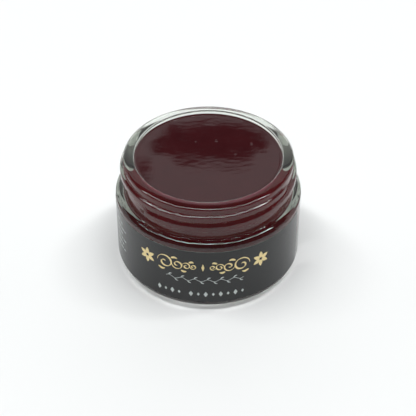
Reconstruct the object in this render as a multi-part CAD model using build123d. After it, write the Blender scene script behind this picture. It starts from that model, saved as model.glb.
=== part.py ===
"""Low, wide cream jar in clear moulded glass: jar body, its filling and its wrap-around label."""
import os
from math import cos, pi, radians, sin, tan

from build123d import *

# ---- driving dimensions (mm, degrees) -------------------------------------
body_diameter = 62.0        # over the label, the widest part of the jar
total_height = 40.7         # bearing ring to sealing land
label_thickness = 0.1       # printed film with its adhesive
label_bottom = 3.7          # lower edge of the label above the floor
label_height = 21.5
label_start_angle = -19.0   # one end of the label, polar angle about +Z
label_span = 340.0          # the film goes nearly all the way round

heel_radius = 4.0           # round between the base and the wall
foot_inner_radius = 24.5    # inner edge of the flat bearing ring
push_up = 0.6               # how far the base is domed upward at its centre

ledge_height = 28.05        # narrow flat beside the neck
ledge_flat_diameter = 58.96 # where the flat would meet the slope, before rounding
ledge_slope = 35.0          # from there the ledge falls away to the wall
ledge_crown_round = 2.0     # between the flat and the slope
shoulder_round = 1.1        # between the slope and the wall
neck_diameter = 56.0        # plain neck under the thread, and the rim
neck_root_fillet = 0.7
rim_shoulder = 1.3          # the rim falls away outward by this much
rim_land = 0.2              # narrow sealing land at its top
rim_inner_round = 0.8

mouth_diameter = 48.7       # straight bore, mouth to cavity floor
cavity_floor = 8.0          # thickness of the solid glass base
cavity_corner = 5.0

thread_pitch = 3.6          # single start, right hand
thread_crest_diameter = 58.1
thread_mid_height = 36.5    # ridge centre at the front of the jar
thread_top_angle = -24.0    # polar angle where the ridge ends near the rim
thread_turn = 478.0         # how far the ridge runs, downward from there
thread_face_half = 0.75     # half the height of the ridge's outer face
thread_flank_top = 0.45     # height of the upper flank where the ridge starts
thread_flank_end = 1.35     # and where it ends, one turn and a bit lower
thread_flank_low = 0.65     # height of the lower flank
thread_hold = 0.35          # part of a pitch by which the ridge stays up behind
thread_run_out = 16.0       # the ridge fades over this much at each end
thread_step = 8.0           # spacing of the loft sections

fill_height = 39.45         # level of the cream, just under the rim
meniscus = 0.25             # the cream creeps up the bore by this much
meniscus_width = 1.0

# ---- sizes that follow ----------------------------------------------------
body_radius = body_diameter / 2
wall_radius = body_radius - label_thickness
neck_radius = neck_diameter / 2
mouth_radius = mouth_diameter / 2
crest_radius = thread_crest_diameter / 2
flat_radius = ledge_flat_diameter / 2
land_radius = mouth_radius + rim_inner_round + rim_land
rim_low = total_height - rim_shoulder
shoulder_height = ledge_height - (wall_radius - flat_radius) * tan(radians(ledge_slope))


def corner_fillet(face, r, z, radius):
    """Round the corner of a flat profile that lies nearest to (r, z)."""
    corner = face.vertices().sort_by_distance((r, 0, z))[0]
    return fillet(corner, radius)


def rim_dome():
    """Quarter ellipse from the neck up to the land."""
    points = []
    for i in range(9):
        turn = radians(90 * i / 8)
        outward = (neck_radius - land_radius) * cos(turn)
        points.append((land_radius + outward, 0, rim_low + rim_shoulder * sin(turn)))
    return Spline(*points, tangents=[(0, 0, 1), (-1, 0, 0)])


def jar_profile():
    """Half section of the jar in the XZ plane."""
    dome_mid = push_up * 0.76
    edges = [
        ThreePointArc(
            (0, 0, push_up),
            (foot_inner_radius * 0.5, 0, dome_mid),
            (foot_inner_radius, 0, 0),
        ),
        Line((foot_inner_radius, 0, 0), (wall_radius, 0, 0)),
        Line((wall_radius, 0, 0), (wall_radius, 0, shoulder_height)),
        Line((wall_radius, 0, shoulder_height), (flat_radius, 0, ledge_height)),
        Line((flat_radius, 0, ledge_height), (neck_radius, 0, ledge_height)),
        Line((neck_radius, 0, ledge_height), (neck_radius, 0, rim_low)),
        rim_dome(),
        Line((land_radius, 0, total_height), (mouth_radius, 0, total_height)),
        Line((mouth_radius, 0, total_height), (mouth_radius, 0, cavity_floor)),
        Line((mouth_radius, 0, cavity_floor), (0, 0, cavity_floor)),
        Line((0, 0, cavity_floor), (0, 0, push_up)),
    ]
    face = make_face(edges)
    face = corner_fillet(face, wall_radius, 0, heel_radius)
    face = corner_fillet(face, wall_radius, shoulder_height, shoulder_round)
    face = corner_fillet(face, flat_radius, ledge_height, ledge_crown_round)
    face = corner_fillet(face, neck_radius, ledge_height, neck_root_fillet)
    face = corner_fillet(face, mouth_radius, total_height, rim_inner_round)
    face = corner_fillet(face, mouth_radius, cavity_floor, cavity_corner)
    return face


def ridge_level(turned):
    """Height of the ridge, 0 to 1, after so many degrees from its top end."""
    into = min(turned, thread_turn - turned) / thread_run_out
    into = max(0.0, min(1.0, into))
    return into * into * (3 - 2 * into)


def ridge_height(turned):
    """Height of the ridge's middle: high behind, caught up again at the front."""
    turns = (turned - thread_top_angle - 90.0) / 360.0
    level = thread_hold * sin(pi * max(0.0, min(1.0, turns))) ** 2
    return thread_mid_height - thread_pitch * (turns - level)


def ridge_section(turned):
    """Closed section of the thread ridge, cut by a plane through the axis."""
    angle = radians(thread_top_angle - turned)
    height = ridge_height(turned)
    level = ridge_level(turned)
    sunk = neck_radius - 0.05
    crest = sunk - 0.15 + (crest_radius - sunk + 0.15) * level
    deep = neck_radius - 1.2
    half = thread_face_half * max(level, 0.2)
    flank_up = thread_flank_top + (thread_flank_end - thread_flank_top) * turned / thread_turn

    def place(r, z):
        return (r * cos(angle), r * sin(angle), z)

    corners = [
        place(min(sunk, crest), height - half - thread_flank_low),
        place(crest, height - half),
        place(crest, height + half),
        place(min(sunk, crest), height + half + flank_up),
        place(deep, height + half + flank_up),
        place(deep, height - half - thread_flank_low),
    ]
    return Wire(Polyline(*corners, close=True).edges())


def thread_ridge():
    """The ridge as one solid, lofted through sections along the helix."""
    count = int(round(thread_turn / thread_step))
    sections = [ridge_section(thread_turn * i / count) for i in range(count + 1)]
    return Solid.make_loft(sections)


def glass_jar():
    """Jar body with its thread."""
    body = revolve(jar_profile(), Axis.Z)
    return body + thread_ridge()


def polish_cream():
    """The filling: the cavity shape up to the fill level."""
    edges = [
        Line((0, 0, cavity_floor), (mouth_radius, 0, cavity_floor)),
        Line((mouth_radius, 0, cavity_floor), (mouth_radius, 0, fill_height + meniscus)),
        Line((mouth_radius, 0, fill_height + meniscus), (mouth_radius - meniscus_width, 0, fill_height)),
        Line((mouth_radius - meniscus_width, 0, fill_height), (0, 0, fill_height)),
        Line((0, 0, fill_height), (0, 0, cavity_floor)),
    ]
    face = make_face(edges)
    face = corner_fillet(face, mouth_radius, cavity_floor, cavity_corner)
    return revolve(face, Axis.Z)


def wrap_label():
    """Film wrapped round the wall, leaving a bare strip between its ends."""
    strip = make_face(
        Polyline(
            (wall_radius, 0, label_bottom),
            (body_radius, 0, label_bottom),
            (body_radius, 0, label_bottom + label_height),
            (wall_radius, 0, label_bottom + label_height),
            close=True,
        )
    )
    strip = Rot(0, 0, label_start_angle - label_span) * strip
    return revolve(strip, Axis.Z, revolution_arc=label_span)


os.makedirs("parts", exist_ok=True)
pieces = {
    "glass_jar": glass_jar(),
    "polish_cream": polish_cream(),
    "wrap_label": wrap_label(),
}
for name, shape in pieces.items():
    shape.label = name
    export_step(shape, f"parts/{name}.step")
    box = shape.bounding_box()
    print(name, "solids", len(shape.solids()), "valid", shape.is_valid)
    print("   volume mm3", round(shape.volume, 1), "from", box.min, "to", box.max)
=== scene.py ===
"""Open glass jar of shoe cream with a wrap-round label, standing in soft studio light."""
import logging
import math
from dataclasses import dataclass, field
from enum import Enum
from typing import Any, Sequence

import bmesh
import bpy
from bpy.types import Material, Node, NodeSocket, NodeTree, Object
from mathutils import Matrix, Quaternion, Vector, noise


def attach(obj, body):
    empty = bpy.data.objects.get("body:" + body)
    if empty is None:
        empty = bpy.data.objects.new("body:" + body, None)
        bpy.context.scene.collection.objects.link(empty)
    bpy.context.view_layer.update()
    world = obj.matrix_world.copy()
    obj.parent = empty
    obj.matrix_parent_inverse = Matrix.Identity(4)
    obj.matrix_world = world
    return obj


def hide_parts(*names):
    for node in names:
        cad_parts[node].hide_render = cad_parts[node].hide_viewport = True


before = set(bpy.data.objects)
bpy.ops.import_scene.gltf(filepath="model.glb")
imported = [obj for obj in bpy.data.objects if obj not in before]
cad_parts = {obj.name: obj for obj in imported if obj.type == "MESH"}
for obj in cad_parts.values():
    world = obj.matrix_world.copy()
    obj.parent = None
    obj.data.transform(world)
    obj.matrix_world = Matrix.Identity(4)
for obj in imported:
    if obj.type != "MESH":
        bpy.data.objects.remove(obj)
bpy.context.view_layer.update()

MM = 0.001
LOG = logging.getLogger("cream_jar")

Point2 = tuple[float, float]
Face = tuple[int, ...]
Ring = list[Vector]


# ---- helpers
def linear(hex_colour: str) -> tuple[float, float, float, float]:
    """Turn an sRGB hex colour into linear light.

    Args:
        hex_colour: a colour such as "#2C1113".

    Returns:
        Red, green, blue and an alpha of 1.
    """
    channels = []
    for start in (1, 3, 5):
        value = int(hex_colour[start:start + 2], 16) / 255
        channels.append(value / 12.92 if value <= 0.04045 else ((value + 0.055) / 1.055) ** 2.4)
    return (channels[0], channels[1], channels[2], 1.0)


def add_node(
    tree: NodeTree,
    kind: str,
    values: dict[Any, Any] | None = None,
    links: dict[Any, Node | NodeSocket] | None = None,
    **settings: Any,
) -> Node:
    """Add one shader node.

    Args:
        tree: the node tree it goes into.
        kind: the node's Blender type name.
        values: input name or number to its fixed value.
        links: input name or number to what feeds it, a socket or a node's first output.
        **settings: the node's own options.

    Returns:
        The new node.
    """
    node = tree.nodes.new(kind)
    for name, value in settings.items():
        setattr(node, name, value)
    for key, value in (values or {}).items():
        node.inputs[key].default_value = value
    for key, source in (links or {}).items():
        socket = source.outputs[0] if isinstance(source, Node) else source
        tree.links.new(socket, node.inputs[key])
    return node


def new_material(name: str) -> tuple[Material, NodeTree]:
    """Start a material with an empty node tree.

    Args:
        name: the finish it is named for.

    Returns:
        The material and its tree.
    """
    material = bpy.data.materials.new(name)
    material.use_nodes = True
    material.node_tree.nodes.clear()
    return material, material.node_tree


def close_material(
    tree: NodeTree,
    shader: Node,
    volume: Node | None = None,
) -> None:
    """Link the finished shader to the material's output.

    Args:
        tree: the material's tree.
        shader: the node of the surface.
        volume: the node of the inside, if it has one.
    """
    links = {"Surface": shader}
    if volume is not None:
        links["Volume"] = volume
    add_node(tree, "ShaderNodeOutputMaterial", links=links)


def mesh_object(
    name: str,
    vertices: Sequence[Sequence[float]],
    faces: Sequence[Sequence[int]],
    material: Material | None = None,
    sharp: float = 40.0,
) -> Object:
    """Make a smooth-shaded mesh object from millimetre points.

    Args:
        name: the piece's name.
        vertices: its points in millimetres.
        faces: its faces as point numbers.
        material: its finish, if it is known already.
        sharp: edges that turn by more than this many degrees stay crisp.

    Returns:
        The new object.
    """
    mesh = bpy.data.meshes.new(name)
    mesh.from_pydata([Vector(v) * MM for v in vertices], [], faces)
    work = bmesh.new()
    work.from_mesh(mesh)
    bmesh.ops.recalc_face_normals(work, faces=work.faces)
    for face in work.faces:
        face.smooth = True
    for edge in work.edges:
        if len(edge.link_faces) == 2 and edge.calc_face_angle() > math.radians(sharp):
            edge.smooth = False
    work.to_mesh(mesh)
    work.free()
    obj = bpy.data.objects.new(name, mesh)
    bpy.context.scene.collection.objects.link(obj)
    if material is not None:
        mesh.materials.append(material)
    return obj


def turned_mesh(rings: Sequence[Ring]) -> tuple[list[Vector], list[Face]]:
    """Skin a stack of rings; a ring of one point is a pole.

    Args:
        rings: rings of equal length, or single points at the two ends.

    Returns:
        Points and faces.
    """
    points: list[Vector] = []
    starts: list[int] = []
    for ring in rings:
        starts.append(len(points))
        points.extend(ring)
    faces: list[Face] = []
    for low in range(len(rings) - 1):
        high = low + 1
        a, b = starts[low], starts[high]
        count = max(len(rings[low]), len(rings[high]))
        for i in range(count):
            j = (i + 1) % count
            if len(rings[low]) == 1:
                faces.append((a, b + j, b + i))
            elif len(rings[high]) == 1:
                faces.append((a + i, a + j, b))
            else:
                faces.append((a + i, a + j, b + j, b + i))
    return points, faces


def swept_faces(first: int, stations: int, loop: int) -> list[Face]:
    """Faces of a bar made of equal loops, one after another, closed at both ends.

    Args:
        first: number of its first point.
        stations: how many loops it has.
        loop: how many points each loop has.

    Returns:
        The faces.
    """
    faces: list[Face] = []
    for c in range(stations - 1):
        a = first + c * loop
        b = a + loop
        for k in range(loop):
            n = (k + 1) % loop
            faces.append((a + k, a + n, b + n, b + k))
    last = first + (stations - 1) * loop
    faces.append(tuple(range(first, first + loop)))
    faces.append(tuple(reversed(range(last, last + loop))))
    return faces


def arc(
    centre: Point2, radius: float, start: float, end: float, steps: int, rise: float | None = None,
) -> list[Point2]:
    """Points along an arc in the (r, z) half plane.

    Args:
        centre: its centre.
        radius: its radius in millimetres.
        start: first angle in degrees, from outward, turning up.
        end: last angle.
        steps: how many points it gets, both ends included.
        rise: its upright radius, where it is part of an ellipse.

    Returns:
        The points in order.
    """
    upright = radius if rise is None else rise
    result = []
    for i in range(steps):
        angle = math.radians(start + (end - start) * i / (steps - 1))
        result.append((centre[0] + radius * math.cos(angle), centre[1] + upright * math.sin(angle)))
    return result


def run(start: Point2, end: Point2, steps: int) -> list[Point2]:
    """Points along a straight run, leaving out both of its ends.

    Args:
        start: where it comes from.
        end: where it goes.
        steps: how many parts it is cut into.

    Returns:
        The points between.
    """
    return [
        (start[0] + (end[0] - start[0]) * i / steps, start[1] + (end[1] - start[1]) * i / steps)
        for i in range(1, steps)
    ]


def ease(value: float) -> float:
    """Smooth step of a value held between 0 and 1."""
    held = max(0.0, min(1.0, value))
    return held * held * (3 - 2 * held)


def polar(r: float, turn: float, z: float) -> Vector:
    """A point at a radius, an angle in radians and a height."""
    return Vector((r * math.cos(turn), r * math.sin(turn), z))


def round_noise(turn: float, spread: float, along: float) -> float:
    """Smooth noise that closes on itself round the jar; a larger spread is finer."""
    return noise.noise(polar(spread, turn, along))


# ---- finishes
@dataclass(frozen=True)
class MouldedFlintGlass:
    """Soda-lime container glass, pressed and fire-polished.

    A sharp mirror-like skin over a clear body; thick walls show a faint grey-green.
    """

    tint: str = "#F6FAF6"
    depth_tint: str = "#DBDDD8"
    density: float = 55.0
    ior: float = 1.52
    roughness: float = 0.012
    ripple_mm: float = 5.0
    ripple_depth_mm: float = 0.06

    def build(self) -> Material:
        """Make the material.

        Returns:
            The glass.
        """
        material, tree = new_material("moulded flint glass")
        # mould and fire polish leave a slow ripple, which bends what is seen through the wall
        place = add_node(tree, "ShaderNodeTexCoord").outputs["Object"]
        ripple = add_node(
            tree, "ShaderNodeTexNoise", links={"Vector": place},
            values={"Scale": 1 / (self.ripple_mm * MM), "Detail": 1.0, "Roughness": 0.4},
        )
        bump = add_node(
            tree, "ShaderNodeBump",
            values={"Strength": 0.25, "Distance": self.ripple_depth_mm * MM},
            links={"Height": ripple},
        )
        shader = add_node(
            tree, "ShaderNodeBsdfPrincipled",
            values={
                "Base Color": linear(self.tint), "Roughness": self.roughness,
                "IOR": self.ior, "Transmission Weight": 1.0,
            },
            links={"Normal": bump},
        )
        depth = add_node(
            tree, "ShaderNodeVolumeAbsorption",
            values={"Color": linear(self.depth_tint), "Density": self.density},
        )
        close_material(tree, shader, depth)
        return material


@dataclass(frozen=True)
class WaxCream:
    """Pigmented wax and oil cream, poured warm and set with a skin.

    Nearly black mahogany, with a soft waxy mirror on top.
    """

    mass: str = "#2E1013"
    skin: str = "#3A1518"
    ior: float = 1.45
    cloud_mm: float = 6.0
    patch_mm: float = 2.0
    grain_mm: float = 0.5
    grain_depth_mm: float = 0.02

    def build(self) -> Material:
        """Make the material.

        Returns:
            The cream.
        """
        material, tree = new_material("mahogany wax cream")
        place = add_node(tree, "ShaderNodeTexCoord").outputs["Object"]
        # slow clouds of pigment, a little redder and a little blacker
        clouds = add_node(
            tree, "ShaderNodeTexNoise", links={"Vector": place},
            values={"Scale": 1 / (self.cloud_mm * MM), "Detail": 3.0, "Roughness": 0.6},
        )
        colour = add_node(
            tree, "ShaderNodeMix", data_type="RGBA",
            values={6: linear(self.mass), 7: linear(self.skin)}, links={0: clouds},
        )
        # the skin is a little duller in patches
        patches = add_node(
            tree, "ShaderNodeTexNoise", links={"Vector": place},
            values={"Scale": 1 / (self.patch_mm * MM), "Detail": 4.0, "Roughness": 0.65},
        )
        gloss = add_node(
            tree, "ShaderNodeMapRange",
            values={"From Min": 0.3, "From Max": 0.7, "To Min": 0.02, "To Max": 0.05},
            links={"Value": patches},
        )
        # fine wax grain, which softens the mirror
        grain = add_node(
            tree, "ShaderNodeTexNoise", links={"Vector": place},
            values={"Scale": 1 / (self.grain_mm * MM), "Detail": 2.0},
        )
        bump = add_node(
            tree, "ShaderNodeBump",
            values={"Strength": 0.12, "Distance": self.grain_depth_mm * MM}, links={"Height": grain},
        )
        shader = add_node(
            tree, "ShaderNodeBsdfPrincipled",
            values={"IOR": self.ior},
            links={"Base Color": colour.outputs[2], "Roughness": gloss, "Normal": bump},
        )
        close_material(tree, shader)
        return material


@dataclass(frozen=True)
class WettedCream:
    """The same cream where it lies wet against the glass.

    With no air between them it has no gloss of its own and shows a redder tone. Towards its
    upper edge a pinker red is painted in, a painted highlight of light coming in through the rim.
    """

    mass: str = "#62171A"
    deep: str = "#4C1216"
    # painted highlight: a lighter, pinker red, and the heights over which it is painted in
    painted_highlight: str = "#8E3446"
    painted_highlight_from: float = 37.2
    painted_highlight_to: float = 39.6
    smear_mm: float = 4.0

    def build(self) -> Material:
        """Make the material.

        Returns:
            The cream against the glass.
        """
        material, tree = new_material("mahogany wax cream against glass")
        place = add_node(tree, "ShaderNodeTexCoord").outputs["Object"]
        # smears from the pouring
        smear = add_node(
            tree, "ShaderNodeTexNoise", links={"Vector": place},
            values={"Scale": 1 / (self.smear_mm * MM), "Detail": 3.0, "Roughness": 0.6},
        )
        colour = add_node(
            tree, "ShaderNodeMix", data_type="RGBA",
            values={6: linear(self.deep), 7: linear(self.mass)}, links={0: smear},
        )
        # painted highlight: towards the top edge the colour lightens to a pinker red, standing in for
        # light coming in through the rim
        axes = add_node(tree, "ShaderNodeSeparateXYZ", links={"Vector": place})
        painted_highlight_mask = add_node(
            tree, "ShaderNodeMapRange", interpolation_type="SMOOTHSTEP",
            values={"From Min": self.painted_highlight_from * MM, "From Max": self.painted_highlight_to * MM},
            links={"Value": axes.outputs["Z"]},
        )
        painted_highlight_mix = add_node(
            tree, "ShaderNodeMix", data_type="RGBA",
            values={7: linear(self.painted_highlight)}, links={0: painted_highlight_mask, 6: colour.outputs[2]},
        )
        shader = add_node(
            tree, "ShaderNodeBsdfPrincipled",
            values={"Roughness": 1.0, "Specular IOR Level": 0.0},
            links={"Base Color": painted_highlight_mix.outputs[2]},
        )
        close_material(tree, shader)
        return material


@dataclass(frozen=True)
class GlossLabelFilm:
    """White polypropylene label film, printed solid black outside and over-varnished.

    Outside it is a black gloss that mirrors the floor; inside, through the glass, it is pale.
    """

    ink: str = "#101214"
    back: str = "#A4A7A1"
    middle_radius: float = 30.93
    ior: float = 1.5
    peel_mm: float = 1.0
    peel_depth_mm: float = 0.01

    def build(self) -> Material:
        """Make the material.

        Returns:
            The film.
        """
        material, tree = new_material("black over-varnished label film")
        place = add_node(tree, "ShaderNodeTexCoord").outputs["Object"]
        # ink on the face away from the jar's axis, bare film on the face towards it
        flat = add_node(
            tree, "ShaderNodeVectorMath", operation="MULTIPLY",
            values={1: (1.0, 1.0, 0.0)}, links={0: place},
        )
        radius = add_node(tree, "ShaderNodeVectorMath", operation="LENGTH", links={0: flat})
        outside = add_node(
            tree, "ShaderNodeMath", operation="GREATER_THAN",
            values={1: self.middle_radius * MM}, links={0: radius.outputs["Value"]},
        )
        colour = add_node(
            tree, "ShaderNodeMix", data_type="RGBA",
            values={6: linear(self.back), 7: linear(self.ink)}, links={0: outside},
        )
        # the varnish's orange peel spreads what the film mirrors
        peel = add_node(
            tree, "ShaderNodeTexNoise", links={"Vector": place},
            values={"Scale": 1 / (self.peel_mm * MM), "Detail": 2.0},
        )
        gloss = add_node(
            tree, "ShaderNodeMapRange",
            values={"From Min": 0.3, "From Max": 0.7, "To Min": 0.16, "To Max": 0.24},
            links={"Value": peel},
        )
        bump = add_node(
            tree, "ShaderNodeBump",
            values={"Strength": 0.15, "Distance": self.peel_depth_mm * MM}, links={"Height": peel},
        )
        shader = add_node(
            tree, "ShaderNodeBsdfPrincipled",
            values={"IOR": self.ior},
            links={"Base Color": colour.outputs[2], "Roughness": gloss, "Normal": bump},
        )
        close_material(tree, shader)
        return material


@dataclass(frozen=True)
class PrintedInk:
    """A printed colour on the film, metallic or plain.

    The gold is a warm pale bronze with a fine grain; the white is plain and a little grey.
    """

    name: str
    light: str
    dark: str
    metallic: float
    roughness: float
    grain_mm: float = 0.3
    grain_depth_mm: float = 0.01

    def build(self) -> Material:
        """Make the material.

        Returns:
            The ink.
        """
        material, tree = new_material(self.name)
        place = add_node(tree, "ShaderNodeTexCoord").outputs["Object"]
        grain = add_node(
            tree, "ShaderNodeTexNoise", links={"Vector": place},
            values={"Scale": 1 / (self.grain_mm * MM), "Detail": 2.0},
        )
        colour = add_node(
            tree, "ShaderNodeMix", data_type="RGBA",
            values={6: linear(self.dark), 7: linear(self.light)}, links={0: grain},
        )
        bump = add_node(
            tree, "ShaderNodeBump",
            values={"Strength": 0.2, "Distance": self.grain_depth_mm * MM}, links={"Height": grain},
        )
        shader = add_node(
            tree, "ShaderNodeBsdfPrincipled",
            values={"Metallic": self.metallic, "Roughness": self.roughness},
            links={"Base Color": colour.outputs[2], "Normal": bump},
        )
        close_material(tree, shader)
        return material


@dataclass(frozen=True)
class MattBoard:
    """Matt coated board for the floor, or a dull black flag.

    It gives an even tone with no gloss.
    """

    name: str
    colour: str
    roughness: float = 0.95

    def build(self) -> Material:
        """Make the material.

        Returns:
            The board.
        """
        material, tree = new_material(self.name)
        shader = add_node(
            tree, "ShaderNodeBsdfPrincipled",
            values={
                "Base Color": linear(self.colour), "Roughness": self.roughness,
                "Specular IOR Level": 0.0,
            },
        )
        close_material(tree, shader)
        return material


# ---- glass jar
@dataclass
class NeckThread:
    """The raised thread: one start, right hand, broad flat crest, fading at both ends.

    Millimetres, and degrees from the right, seen from above.
    """

    pitch: float = 3.6
    neck_radius: float = 28.0
    crest_radius: float = 29.05
    mid_height: float = 36.5
    top_angle: float = -24.0
    turn: float = 478.0
    face_half: float = 0.75
    upper_flank: tuple[float, float] = (0.45, 1.35)
    lower_flank: float = 0.65
    run_out: float = 9.0
    start_level: float = 0.6
    growth: float = 150.0
    hold: float = 0.30

    def ridge_height(self, turned: float) -> float:
        """Height of the ridge's middle: it stays high behind and catches up on the way back.

        Args:
            turned: degrees from the top end, downward along the thread.

        Returns:
            The height in millimetres.
        """
        turns = (turned - self.top_angle - 90.0) / 360.0
        level = self.hold * math.sin(math.pi * max(0.0, min(1.0, turns))) ** 2
        return self.mid_height - self.pitch * (turns - level)

    def rise(self, angle: float, z: float) -> float:
        """How far the ridge stands out of the neck.

        Args:
            angle: polar angle in degrees.
            z: height in millimetres.

        Returns:
            The rise in millimetres.
        """
        best = 0.0
        turned = (self.top_angle - angle) % 360.0
        while turned <= self.turn:
            level = ease(min(turned, self.turn - turned) / self.run_out)
            level *= self.start_level + (1.0 - self.start_level) * ease(turned / self.growth)
            away = z - self.ridge_height(turned)
            low, high = self.upper_flank
            flank = low + (high - low) * turned / self.turn if away > 0 else self.lower_flank
            outward = 1.0 - (abs(away) - self.face_half * min(1.0, level * 1.5)) / flank
            outward = max(0.0, min(1.0, outward))
            # steep where it leaves the neck, rolling over into the crest
            section = 1.0 - (1.0 - outward) ** 2
            best = max(best, (self.crest_radius - self.neck_radius) * level * section)
            turned += 360.0
        return best


@dataclass
class GlassJar:
    """The moulded jar: base, wall, shoulder, threaded neck, rim and bore in one skin.

    Millimetres and degrees. The knot is a small lump of thicker glass.
    """

    height: float = 40.7
    wall_radius: float = 30.9
    heel_radius: float = 4.0
    push_up: float = 0.6
    foot_inner: float = 24.5
    ledge_height: float = 28.05
    ledge_flat: float = 0.15
    ledge_crown: float = 2.0
    ledge_slope: float = 35.0
    shoulder_round: float = 1.1
    root_fillet: float = 0.7
    rim_shoulder: float = 1.0
    rim_land: float = 0.2
    rim_inner_round: float = 0.5
    mouth_radius: float = 24.35
    cavity_floor: float = 8.0
    cavity_corner: float = 5.0
    foot_marks: int = 48
    mark_height: float = 0.12
    mark_margin: float = 0.4
    segments: int = 384
    neck_step: float = 0.08
    ripple: float = 0.02
    ripple_starts: float = 2.0
    ledge_band: float = 0.2
    ledge_streak: float = 0.012
    rim_band: float = 0.2
    rim_calm: float = 0.3
    knot_angle: float = -121.0
    knot_radius: float = 29.1
    knot_size: float = 0.55
    knot_height: float = 0.22
    thread: NeckThread = field(default_factory=NeckThread)

    def base_profile(self) -> list[Point2]:
        """Profile from the middle of the base to the top of the wall.

        Returns:
            Points as (r, z).
        """
        steps = 20
        dome = []
        for i in range(1, steps + 1):
            r = self.foot_inner * i / steps
            dome.append((r, self.push_up * (1 - (i / steps) ** 2)))
        foot_outer = self.wall_radius - self.heel_radius
        flat = run((self.foot_inner, 0.0), (foot_outer, 0.0), steps=10)
        heel = arc((foot_outer, self.heel_radius), self.heel_radius, -90, 0, steps=14)
        wall = run(heel[-1], self.shoulder_arc()[0], steps=14)
        return dome + flat + heel + wall

    def crown_arc(self) -> list[Point2]:
        """The round between the sloping ledge and its flat beside the neck.

        Returns:
            Points as (r, z), from the slope up.
        """
        radius = self.ledge_crown
        centre_r = self.thread.neck_radius + self.root_fillet + self.ledge_flat
        centre = (centre_r, self.ledge_height - radius)
        return arc(centre, radius, 90 - self.ledge_slope, 90, steps=6)

    def shoulder_arc(self) -> list[Point2]:
        """The round between the wall and the sloping ledge.

        Returns:
            Points as (r, z), from the wall up.
        """
        slope = math.radians(self.ledge_slope)
        radius = self.shoulder_round
        centre_r = self.wall_radius - radius
        touch_r = centre_r + radius * math.sin(slope)
        inner_r, inner_z = self.crown_arc()[0]
        touch_z = inner_z - (touch_r - inner_r) * math.tan(slope)
        centre = (centre_r, touch_z - radius * math.cos(slope))
        return arc(centre, radius, 0, 90 - self.ledge_slope, steps=14)

    def neck_profile(self) -> list[Point2]:
        """Profile from the shoulder up to the rim's outer edge.

        Returns:
            Points as (r, z).
        """
        neck = self.thread.neck_radius
        fillet = self.root_fillet
        shoulder = self.shoulder_arc()
        crown = self.crown_arc()
        root = arc((neck + fillet, self.ledge_height + fillet), fillet, -90, -180, steps=7)
        slope = run(shoulder[-1], crown[0], steps=12)
        ledge = slope + crown + run(crown[-1], root[0], steps=4)
        rim_z = self.height - self.rim_shoulder
        rows = int((rim_z - self.ledge_height) / self.neck_step)
        side = run(root[-1], (neck, rim_z), rows)
        return shoulder + ledge + root + side + self.rim_dome()

    def rim_dome(self) -> list[Point2]:
        """The rim's top, falling away outward from a narrow land beside the mouth.

        Returns:
            Points as (r, z), from the neck up to the land.
        """
        inner = self.mouth_radius + self.rim_inner_round + self.rim_land
        wide = self.thread.neck_radius - inner
        low = self.height - self.rim_shoulder
        return arc((inner, low), wide, 0, 90, steps=29, rise=self.rim_shoulder)

    def bore_profile(self) -> list[Point2]:
        """Profile over the land, down the bore and to the middle of its floor.

        Returns:
            Points as (r, z).
        """
        mouth = self.mouth_radius
        inner = self.rim_inner_round
        outer_land = (mouth + inner + self.rim_land, self.height)
        land = run(outer_land, (mouth + inner, self.height), steps=2)
        lip = arc((mouth + inner, self.height - inner), inner, 90, 180, steps=14)
        corner_z = self.cavity_floor + self.cavity_corner
        bore = run(lip[-1], (mouth, corner_z), steps=10)
        corner_r = mouth - self.cavity_corner
        corner = arc((corner_r, corner_z), self.cavity_corner, 0, -90, steps=12)
        floor = run(corner[-1], (0.0, self.cavity_floor), steps=8)
        return land + lip + bore + corner + floor

    def skin_point(self, r: float, z: float, angle: float, outside: bool) -> Vector:
        """Place one profile point at an angle, with thread, ripple, knot and foot marks.

        Args:
            r: profile radius.
            z: profile height.
            angle: polar angle in degrees.
            outside: whether the point is on the outer skin.

        Returns:
            The point in millimetres.
        """
        turn = math.radians(angle)
        if outside and self.ledge_height + self.root_fillet < z < self.height - self.rim_shoulder:
            r += self.thread.rise(angle, z)
        if outside and z > self.ledge_height - self.ripple_starts:
            wave = round_noise(turn, 4.5, z / 5)
            r += self.ripple * wave * (1 if z < self.height - self.rim_band else self.rim_calm)
            if z < self.ledge_height + self.ledge_band:
                streak = round_noise(turn, 8, r * 1.6)
                z += self.ripple * wave * 0.6 + self.ledge_streak * streak
                z += self.knot_height * ease(1.0 - self.knot_distance(r, angle))
        foot_outer = self.wall_radius - self.heel_radius
        if z <= 0.001 and self.foot_inner + self.mark_margin < r < foot_outer:
            mark = math.cos(turn * self.foot_marks)
            z += self.mark_height * ease((mark - 0.1) / 0.5)
        return polar(r, turn, z)

    def knot_distance(self, r: float, angle: float) -> float:
        """How far a place on the ledge is from the knot's middle, in knot sizes."""
        around = math.radians((angle - self.knot_angle + 180.0) % 360.0 - 180.0)
        return math.hypot(around * self.knot_radius, r - self.knot_radius) / self.knot_size

    def build(self) -> Object:
        """Make the jar's mesh.

        Returns:
            The jar, standing for its CAD solid.
        """
        outer = self.base_profile() + self.neck_profile()
        inner = self.bore_profile()
        rings: list[Ring] = [[Vector((0.0, 0.0, self.push_up))]]
        for profile, outside in ((outer, True), (inner, False)):
            for r, z in profile:
                rings.append([
                    self.skin_point(r, z, 360.0 * i / self.segments, outside)
                    for i in range(self.segments)
                ])
        rings.append([Vector((0.0, 0.0, self.cavity_floor))])
        points, faces = turned_mesh(rings)
        jar = mesh_object("jar_moulded_body", points, faces, sharp=75)
        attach(jar, "root")
        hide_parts("glass_jar")
        # clear glass lets the light through to what it holds and stands on
        jar.visible_shadow = False
        return jar

    def dress(self, jar: Object) -> None:
        """Give the jar its glass."""
        jar.data.materials.append(MouldedFlintGlass().build())


# ---- cream
@dataclass(frozen=True)
class Blemish:
    """A small pit (negative) or pimple in the cream's skin."""

    x: float
    y: float
    radius: float
    height: float


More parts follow.
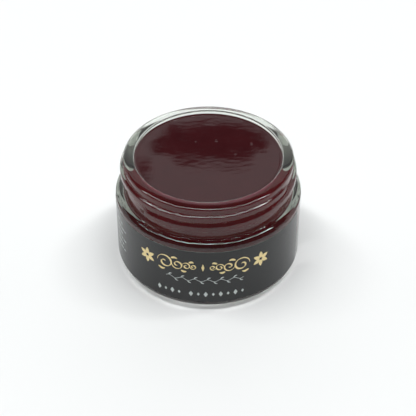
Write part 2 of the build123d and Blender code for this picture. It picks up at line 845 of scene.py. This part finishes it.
@dataclass
class CreamFill:
    """The cream: a poured, set surface with a creeping edge, and its mass down the bore.

    Millimetres; contact is how far round from the front it lies wet, in degrees.
    """

    level: float = 39.45
    bore_radius: float = 24.37
    gap: float = 0.12
    contact: float = 97.0
    ragged: float = 0.16
    loosens_over: float = 0.1
    floor: float = 7.98
    corner: float = 5.0
    edge: float = 1.0
    edge_rise: float = 0.27
    ripple: float = 0.010
    fine_share: float = 0.22
    rings: int = 150
    segments: int = 360
    blemishes: tuple[Blemish, ...] = (
        Blemish(-4.2, 8.4, 0.22, 0.035),
        Blemish(3.9, 20.0, 0.22, 0.035),
        Blemish(2.6, 9.0, 0.9, -0.012),
        Blemish(-9.7, 16.4, 0.5, 0.010),
        Blemish(14.2, 7.2, 0.8, 0.010),
        Blemish(8.9, 1.4, 0.6, -0.010),
    )

    def reach(self, turn: float, z: float) -> float:
        """Radius of the cream's side: wet against the glass in front, shrunk off it behind.

        Args:
            turn: polar angle in radians.
            z: height in millimetres.

        Returns:
            The radius in millimetres.
        """
        wave = self.ragged * round_noise(turn, 4, (self.level - z) / 5)
        behind = math.cos(math.radians(self.contact)) + math.sin(turn)
        return self.bore_radius - self.gap * ease((behind + wave) / self.loosens_over)

    def top(self, x: float, y: float) -> float:
        """Height of the cream's skin.

        Args:
            x: place across the jar.
            y: place from front to back.

        Returns:
            The height in millimetres.
        """
        r = math.hypot(x, y)
        z = self.level
        z += self.ripple * noise.noise(Vector((x / 9, y / 6, 0.3)))
        z += self.ripple * self.fine_share * noise.noise(Vector((x / 3.2, y / 1.4, 4.1)))
        z += self.edge_rise * max(0.0, (r - self.bore_radius + self.edge) / self.edge) ** 2
        for spot in self.blemishes:
            away = math.hypot(x - spot.x, y - spot.y) / spot.radius
            if away < 1:
                z += spot.height * math.cos(math.pi * away / 2) ** 2
        return z

    def build(self) -> Object:
        """Make the cream's mesh.

        Returns:
            The cream, standing for its CAD solid.
        """
        turns = [math.tau * i / self.segments for i in range(self.segments)]
        rings: list[Ring] = [[Vector((0.0, 0.0, self.top(0.0, 0.0)))]]
        for k in range(1, self.rings + 1):
            ring = []
            for turn in turns:
                r = self.reach(turn, self.level) * (k / self.rings)
                x, y = r * math.cos(turn), r * math.sin(turn)
                ring.append(Vector((x, y, self.top(x, y))))
            rings.append(ring)
        corner_z = self.floor + self.corner
        down = run((self.bore_radius, self.level), (self.bore_radius, corner_z), steps=44)
        corner_r = self.bore_radius - self.corner
        down += arc((corner_r, corner_z), self.corner, 0, -90, steps=12)
        down += run(down[-1], (0.0, self.floor), steps=6)
        for r, z in down:
            rings.append([
                polar(r * self.reach(turn, z) / self.bore_radius, turn, z) for turn in turns
            ])
        rings.append([Vector((0.0, 0.0, self.floor))])
        points, faces = turned_mesh(rings)
        cream = mesh_object("cream_fill", points, faces, sharp=60)
        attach(cream, "root")
        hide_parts("polish_cream")
        return cream

    def dress(self, cream: Object) -> None:
        """Give the cream its wax.

        Args:
            cream: the cream's object.
        """
        cream.data.materials.append(WaxCream().build())
        cream.data.materials.append(WettedCream().build())
        # steep faces and all that is more than 1 mm down lie against the glass
        for face in cream.data.polygons:
            if abs(face.normal.z) < 0.5 or face.center.z / MM < self.level - 1:
                face.material_index = 1


# ---- label
@dataclass
class WrapLabel:
    """The film round the wall, with a bare strip of glass between its ends."""

    inner_radius: float = 30.85
    outer_radius: float = 31.0
    bottom: float = 3.7
    height: float = 21.5
    start_angle: float = -19.0
    span: float = 340.0
    corner: float = 0.8
    waviness: float = 0.008
    columns: int = 400
    rows: int = 16

    def edges_at(self, travelled: float) -> tuple[float, float]:
        """Lower and upper edge of the film where its corners are rounded.

        Args:
            travelled: millimetres from the nearer end.

        Returns:
            The two heights.
        """
        cut = 0.0
        if travelled < self.corner:
            cut = self.corner - math.sqrt(self.corner ** 2 - (self.corner - travelled) ** 2)
        return self.bottom + cut, self.bottom + self.height - cut

    def build(self) -> Object:
        """Make the film's mesh.

        Returns:
            The label, standing for its CAD solid.
        """
        points: list[Vector] = []
        for c in range(self.columns + 1):
            part = c / self.columns
            angle = math.radians(self.start_angle - self.span * part)
            travelled = math.radians(self.span) * self.outer_radius * min(part, 1 - part)
            low, high = self.edges_at(travelled)
            for k in range(self.rows):
                z = low + (high - low) * k / (self.rows - 1)
                wave = round_noise(angle, 5, z / 9)
                r = self.outer_radius - self.waviness + self.waviness * wave
                points.append(polar(r, angle, z))
            for z in (high, low):
                points.append(polar(self.inner_radius, angle, z))
        faces = swept_faces(0, self.columns + 1, self.rows + 2)
        label = mesh_object("label_film", points, faces, sharp=50)
        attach(label, "root")
        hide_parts("wrap_label")
        return label

    def dress(self, label: Object) -> None:
        """Give the label its printed film."""
        label.data.materials.append(GlossLabelFilm().build())


# ---- printing
class Stroke(Enum):
    """How a printed stroke's width runs along it."""

    EVEN = "even"
    LEAF = "leaf"
    LOZENGE = "lozenge"
    PEN = "pen"


def curve(controls: Sequence[Point2], steps: int = 8) -> list[Point2]:
    """A smooth line through flat points (Catmull-Rom).

    Args:
        controls: the points it passes through.
        steps: how many parts each stretch is cut into.

    Returns:
        Points along the line.
    """
    padded = [controls[0], *controls, controls[-1]]
    result: list[Point2] = []
    for i in range(1, len(padded) - 2):
        p0, p1, p2, p3 = padded[i - 1:i + 3]
        for s in range(steps):
            t = s / steps
            point = []
            for axis in (0, 1):
                a = 2 * p1[axis]
                b = p2[axis] - p0[axis]
                c = 2 * p0[axis] - 5 * p1[axis] + 4 * p2[axis] - p3[axis]
                d = -p0[axis] + 3 * p1[axis] - 3 * p2[axis] + p3[axis]
                point.append(0.5 * (a + b * t + c * t * t + d * t * t * t))
            result.append((point[0], point[1]))
    result.append(controls[-1])
    return result


@dataclass
class PrintLayer:
    """Flat strokes gathered on the label's face and laid round the jar as one thin piece.

    Millimetres on the face: across from the layout's middle, which stands that far to the right
    of the jar's front, and up from the floor.
    """

    name: str
    ink: PrintedInk
    face_radius: float = 31.0
    lift: float = 0.025
    sunk: float = 0.03
    middle: float = -1.75
    nib_angle: float = 40.0
    points: list[Vector] = field(default_factory=list)
    faces: list[Face] = field(default_factory=list)

    def on_wall(self, across: float, up: float, out: float) -> Vector:
        """A flat place on the label turned into a place on the jar.

        Args:
            across: millimetres from the layout's middle, to the right.
            up: millimetres above the floor.
            out: millimetres proud of the face.

        Returns:
            The point.
        """
        turn = (across + self.middle) / self.face_radius
        r = self.face_radius + out
        return Vector((r * math.sin(turn), -r * math.cos(turn), up))

    def stroke(self, path: Sequence[Point2], width: float, kind: Stroke = Stroke.EVEN) -> None:
        """Add one stroke as a thin closed strip.

        Args:
            path: its middle line.
            width: its full width at the widest.
            kind: how its width runs.
        """
        base = len(self.points)
        count = len(path)
        for i, (u, v) in enumerate(path):
            before = path[max(0, i - 1)]
            after = path[min(count - 1, i + 1)]
            du, dv = after[0] - before[0], after[1] - before[1]
            length = math.hypot(du, dv) or 1.0
            nu, nv = -dv / length, du / length
            t = i / (count - 1)
            if kind is Stroke.LEAF:
                half = width / 2 * max(0.04, math.sin(math.pi * t ** 0.8) ** 0.8)
            elif kind is Stroke.LOZENGE:
                half = width / 2 * max(0.03, 1 - abs(2 * t - 1))
            elif kind is Stroke.PEN:
                # a broad nib held at a slant: thick one way, thin the other
                lean = abs(math.sin(math.atan2(dv, du) - math.radians(self.nib_angle)))
                half = width / 2 * (0.28 + 0.72 * lean) * max(0.25, math.sin(math.pi * t) ** 0.4)
            else:
                half = width / 2
            for side, out in ((-1, self.lift), (1, self.lift), (1, -self.sunk), (-1, -self.sunk)):
                self.points.append(self.on_wall(u + nu * half * side, v + nv * half * side, out))
        self.faces.extend(swept_faces(base, count, loop=4))

    def finish(self) -> Object:
        """Turn the gathered strokes into one piece.

        Returns:
            The printed layer.
        """
        layer = mesh_object(self.name, self.points, self.faces, self.ink.build(), sharp=50)
        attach(layer, "root")
        return layer


@dataclass(frozen=True)
class Leaf:
    """A small leaf beside the scroll: where its root stands, how it leans and how long it is."""

    across: float
    up: float
    lean: float
    length: float


@dataclass
class LabelPrint:
    """All the printing: gold running scrolls between two rosettes, and fine white ornament.

    Millimetres on the label's face; the left scroll mirrors the right one.
    """

    gold: PrintLayer = field(default_factory=lambda: PrintLayer(
        "label_gold_print",
        PrintedInk("bronze gold ink", "#FBEAB4", "#F0D692", metallic=0.15, roughness=0.35),
    ))
    white: PrintLayer = field(default_factory=lambda: PrintLayer(
        "label_white_print",
        PrintedInk("white screen ink", "#DCE4E2", "#C2CAC8", metallic=0.0, roughness=0.4),
    ))
    rosette_places: tuple[float, float] = (-19.6, 19.6)
    rosette_up: float = 18.3
    petals: int = 6
    petal_root: float = 0.45
    petal_length: float = 2.6
    petal_width: float = 1.45
    scroll_end: float = 15.5
    scroll_up: float = 18.75
    scroll_radii: tuple[float, ...] = (2.6, 1.75, 1.3, 0.95)
    curl_turns: float = 1.4
    leaves: tuple[Leaf, ...] = (
        Leaf(15.2, 16.0, -0.6, 2.4),
        Leaf(10.6, 21.0, 0.5, 2.2),
        Leaf(7.2, 16.7, -0.4, 1.9),
        Leaf(4.6, 20.3, 0.4, 1.7),
    )
    leaf_width: float = 0.8
    vine_ends: tuple[float, float] = (-12.4, 13.4)
    vine_up: float = 13.1
    vine_waves: int = 6
    vine_swing: float = 0.45
    lozenges_up: float = 7.05
    rules_up: float = 21.5
    rule_pitch: float = 2.1
    rule_width: float = 0.3
    dash_gap: float = 0.55

    def rosette(self, across: float) -> None:
        """A small flower of separate pointed petals.

        Args:
            across: where its middle stands.
        """
        for k in range(self.petals):
            turn = math.tau * (k + 0.5) / self.petals
            du, dv = math.cos(turn), math.sin(turn)
            path = []
            for i in range(11):
                out = self.petal_root + self.petal_length * i / 10
                path.append((across + du * out, self.rosette_up + dv * out))
            self.gold.stroke(path, self.petal_width, Stroke.LEAF)

    def curl(self, start: float, radius: float, up: int, ahead: int) -> None:
        """One round of the running scroll: it arches over and winds into its eye.

        Args:
            start: the end the round sets out from.
            radius: its radius.
            up: 1 to arch over the top, -1 to hang below.
            ahead: 1 to run to the right, -1 to the left.
        """
        count = 44
        path = []
        for i in range(count + 1):
            t = i / count
            turn = math.tau * self.curl_turns * t
            # a plain arc for its first fifth, then closing on the eye
            r = radius * (1.0 - 0.84 * ease((t - 0.2) / 0.8))
            across = start + ahead * (radius - r * math.cos(turn))
            path.append((across, self.scroll_up + up * r * math.sin(turn)))
        self.gold.stroke(path, 0.36 + 0.13 * radius, Stroke.PEN)

    def bent_leaf(self, leaf: Leaf, side: int) -> None:
        """One bent leaf, pointing towards the layout's middle.

        Args:
            leaf: its place and size.
            side: 1 on the right, -1 on the left.
        """
        path = curve([
            (side * leaf.across, leaf.up),
            (side * (leaf.across - leaf.length * 0.55), leaf.up + leaf.lean),
            (side * (leaf.across - leaf.length), leaf.up + leaf.lean * 0.4),
        ])
        self.gold.stroke(path, self.leaf_width, Stroke.LEAF)

    def scroll(self) -> None:
        """Two mirrored runs of scroll, each from a large curl down to a small one."""
        for side in (-1, 1):
            u = self.scroll_end
            for i, radius in enumerate(self.scroll_radii):
                up = 1 if i % 2 == 0 else -1
                self.curl(side * u, radius, up, -side)
                u -= 2 * radius
            for leaf in self.leaves:
                self.bent_leaf(leaf, side)
        self.gold.stroke(curve([(0.0, 17.2), (0.0, 18.7), (0.0, 20.2)]), 1.0, Stroke.LOZENGE)

    def fine_vine(self) -> None:
        """A hair-fine wavy vine with tiny leaves under the scroll."""
        left, right = self.vine_ends
        length = right - left
        up = self.vine_up
        count = 96
        wave = []
        for i in range(count + 1):
            swing = math.sin(math.tau * self.vine_waves * i / count)
            wave.append((left + length * i / count, up + self.vine_swing * swing))
        self.white.stroke(wave, 0.13)
        leaves = self.vine_waves * 2
        for k in range(leaves):
            u = left + length * (k + 0.5) / leaves
            side = 1 if k % 2 == 0 else -1
            path = [(u - 0.2, up + side * 0.5), (u + 0.3, up + side * 1.1), (u + 1.0, up + side * 1.3)]
            self.white.stroke(curve(path, steps=5), 0.4, Stroke.LEAF)

    def lozenge_row(self) -> None:
        """A row of small solid lozenges near the bottom, every other one short."""
        places = [-15.0 + 2.35 * i for i in range(4)] + [-4.0 + 2.45 * i for i in range(8)]
        for i, u in enumerate(places):
            tall, wide = (1.15, 1.4) if i % 2 == 0 else (0.7, 0.95)
            path = [(u, self.lozenges_up - tall + 2 * tall * k / 8) for k in range(9)]
            self.white.stroke(path, wide, Stroke.LOZENGE)

    def side_rules(self, start: float, lines: Sequence[Sequence[float]]) -> None:
        """A block of fine broken rules on the side of the label.

        Args:
            start: left end of the block.
            lines: for each rule, the lengths of its dashes.
        """
        for k, dashes in enumerate(lines):
            u = start
            up = self.rules_up - self.rule_pitch * k
            for dash in dashes:
                # cut fine enough to follow the wall's round
                cuts = max(2, int(dash / 0.8) + 1)
                path = [(u + dash * i / (cuts - 1), up) for i in range(cuts)]
                self.white.stroke(path, self.rule_width)
                u += dash + self.dash_gap

    def build(self) -> list[Object]:
        """Make every printed layer.

        Returns:
            The gold and the white layer.
        """
        for across in self.rosette_places:
            self.rosette(across)
        self.scroll()
        self.fine_vine()
        self.lozenge_row()
        self.side_rules(-38.5, (
            (2.4, 1.6), (3.1, 2.0, 1.0), (1.4, 2.6), (2.8, 1.2, 1.9), (3.6, 1.1), (1.9, 2.2, 1.4),
        ))
        self.side_rules(-66.0, (
            (4.4, 2.6, 5.0), (3.1, 6.0, 2.0), (5.4, 2.6, 3.3), (2.8, 4.2, 4.9), (6.0, 2.1), (3.9, 5.2),
            (5.0, 3.3, 2.2),
        ))
        return [self.gold.finish(), self.white.finish()]


# ---- studio
@dataclass(frozen=True)
class SoftBox:
    """A flat soft light of a known brightness.

    Places and sizes are metres; swing turns it about the vertical, in degrees.
    """

    name: str
    place: tuple[float, float, float]
    size: tuple[float, float]
    radiance: float
    aim: tuple[float, float, float] = (0.0, 0.0, 0.03)
    swing: float = 0.0

    def build(self) -> None:
        """Hang the light and point it."""
        data = bpy.data.lights.new(self.name, "AREA")
        data.shape = "RECTANGLE"
        data.size, data.size_y = self.size
        data.energy = self.radiance * math.pi * self.size[0] * self.size[1]
        light = bpy.data.objects.new(self.name, data)
        bpy.context.scene.collection.objects.link(light)
        light.location = self.place
        towards = Vector(self.aim) - Vector(self.place)
        facing = towards.to_track_quat("-Z", "Y")
        light.rotation_euler = (Quaternion((0, 0, 1), math.radians(self.swing)) @ facing).to_euler()
        light.visible_camera = False


@dataclass(frozen=True)
class FlagCard:
    """A black cloth with a torn edge, hung where the cream mirrors it.

    Sizes are metres; elevation is its height behind the jar, in degrees.
    """

    name: str
    across: float
    elevation: float
    half_width: float
    half_height: float
    torn: float = 0.25
    distance: float = 1.5
    mirror_height: float = 0.04
    edge_points: int = 96


@dataclass
class Studio:
    """Pale board floor, soft boxes, two black flags and the camera.

    Metres, except the elevation in degrees and the lens in millimetres.
    """

    floor_half: float = 2.5
    floor_drop: float = 0.00005
    camera_distance: float = 0.4293
    camera_elevation: float = 39.906
    camera_aim: float = 0.01769
    lens: float = 109.73
    axis_shift: float = -0.0009
    rise_shift: float = 0.0005
    fill: float = 0.1
    flags: tuple[FlagCard, ...] = (
        FlagCard("studio_flag_wide", 0.003, 36.75, 0.088, 0.031),
        FlagCard("studio_flag_small", -0.100, 38.3, 0.012, 0.010, torn=0.5),
    )
    boxes: tuple[SoftBox, ...] = (
        SoftBox("back_panel", (0.0, 2.0, 1.2), (3.2, 2.4), 0.68, aim=(0.0, 0.0, 0.8)),
        SoftBox("top_box", (0.0, -0.29, 1.6), (0.9, 0.24), 14.0, aim=(0.0, -0.29, 0.0)),
        SoftBox("top_box_left", (-0.80, 0.03, 1.6), (0.95, 0.22), 14.0, (-0.80, 0.03, 0.0), swing=-38.0),
        SoftBox("top_box_right", (0.80, 0.03, 1.6), (0.95, 0.22), 14.0, (0.80, 0.03, 0.0), swing=38.0),
        SoftBox("back_strip", (0.0, 1.9, 0.52), (2.6, 0.3), 3.0),
        SoftBox("left_box", (-0.95, 0.33, 1.25), (0.14, 0.3), 14.0),
        SoftBox("left_wall", (-1.7, 0.6, 0.65), (1.9, 1.1), 0.95, aim=(0.0, 0.0, 0.5)),
        SoftBox("right_wall", (1.7, 0.6, 0.65), (1.9, 1.1), 0.95, aim=(0.0, 0.0, 0.5)),
        SoftBox("right_box", (0.9, 0.21, 1.35), (0.16, 0.3), 14.0),
    )

    def floor(self) -> None:
        """Lay the floor."""
        h = self.floor_half / MM
        drop = -self.floor_drop / MM
        floor = mesh_object(
            "studio_floor",
            [(-h, -h, drop), (h, -h, drop), (h, h, drop), (-h, h, drop)],
            [(0, 1, 2, 3)],
            MattBoard("white matt board", "#E8EAEA").build(),
        )

    def flag(self, card: FlagCard) -> None:
        """Hang one black flag that the cream mirrors.

        Args:
            card: its place and size.
        """
        elevation = math.radians(card.elevation)
        back, rise = card.distance * math.cos(elevation), card.distance * math.sin(elevation)
        centre = Vector((card.across, back, rise + card.mirror_height))
        across = Vector((1, 0, 0))
        up = Vector((0, -math.sin(elevation), math.cos(elevation)))
        ring = []
        for i in range(card.edge_points):
            turn = math.tau * i / card.edge_points
            torn = 1 + card.torn * round_noise(turn, 3, card.across * 40)
            u = card.half_width * torn * math.cos(turn)
            v = card.half_height * torn * math.sin(turn)
            ring.append((centre + across * u + up * v) / MM)
        black = MattBoard("black flag cloth", "#050505").build()
        flag = mesh_object(card.name, ring, [tuple(range(card.edge_points))], black)
        flag.visible_camera = False
        flag.visible_shadow = False

    def lights(self) -> None:
        """Hang every soft box and set the room's dim fill."""
        for box in self.boxes:
            box.build()
        world = bpy.data.worlds.new("dim_room")
        world.use_nodes = True
        back = world.node_tree.nodes["Background"]
        back.inputs["Color"].default_value = linear("#FFFFFF")
        back.inputs["Strength"].default_value = self.fill
        bpy.context.scene.world = world

    def camera(self) -> None:
        """Set the camera up in front of the jar, looking down at it."""
        data = bpy.data.cameras.new("camera")
        data.lens = self.lens
        data.sensor_width = 36.0
        data.shift_x = self.axis_shift
        data.shift_y = self.rise_shift
        data.clip_start = 0.01
        camera = bpy.data.objects.new("camera", data)
        bpy.context.scene.collection.objects.link(camera)
        turn = math.radians(self.camera_elevation)
        aim = Vector((0.0, 0.0, self.camera_aim))
        camera.location = aim + self.camera_distance * Vector((0, -math.cos(turn), math.sin(turn)))
        camera.rotation_euler = (aim - camera.location).to_track_quat("-Z", "Y").to_euler()
        bpy.context.scene.camera = camera

    def build(self) -> None:
        """Set up camera, floor, flags, lights and tone."""
        self.camera()
        self.floor()
        for card in self.flags:
            self.flag(card)
        self.lights()
        bpy.context.scene.view_settings.view_transform = "Standard"


def main() -> None:
    """Build every piece in order."""
    logging.basicConfig(level=logging.INFO, format="%(name)s: %(message)s")
    Studio().build()
    for assembly in (GlassJar(), CreamFill(), WrapLabel()):
        piece = assembly.build()
        assembly.dress(piece)
        LOG.info("%s: %d points", piece.name, len(piece.data.vertices))
    for layer in LabelPrint().build():
        LOG.info("%s: %d points", layer.name, len(layer.data.vertices))
    bpy.context.view_layer.update()


if __name__ == "__main__":
    main()
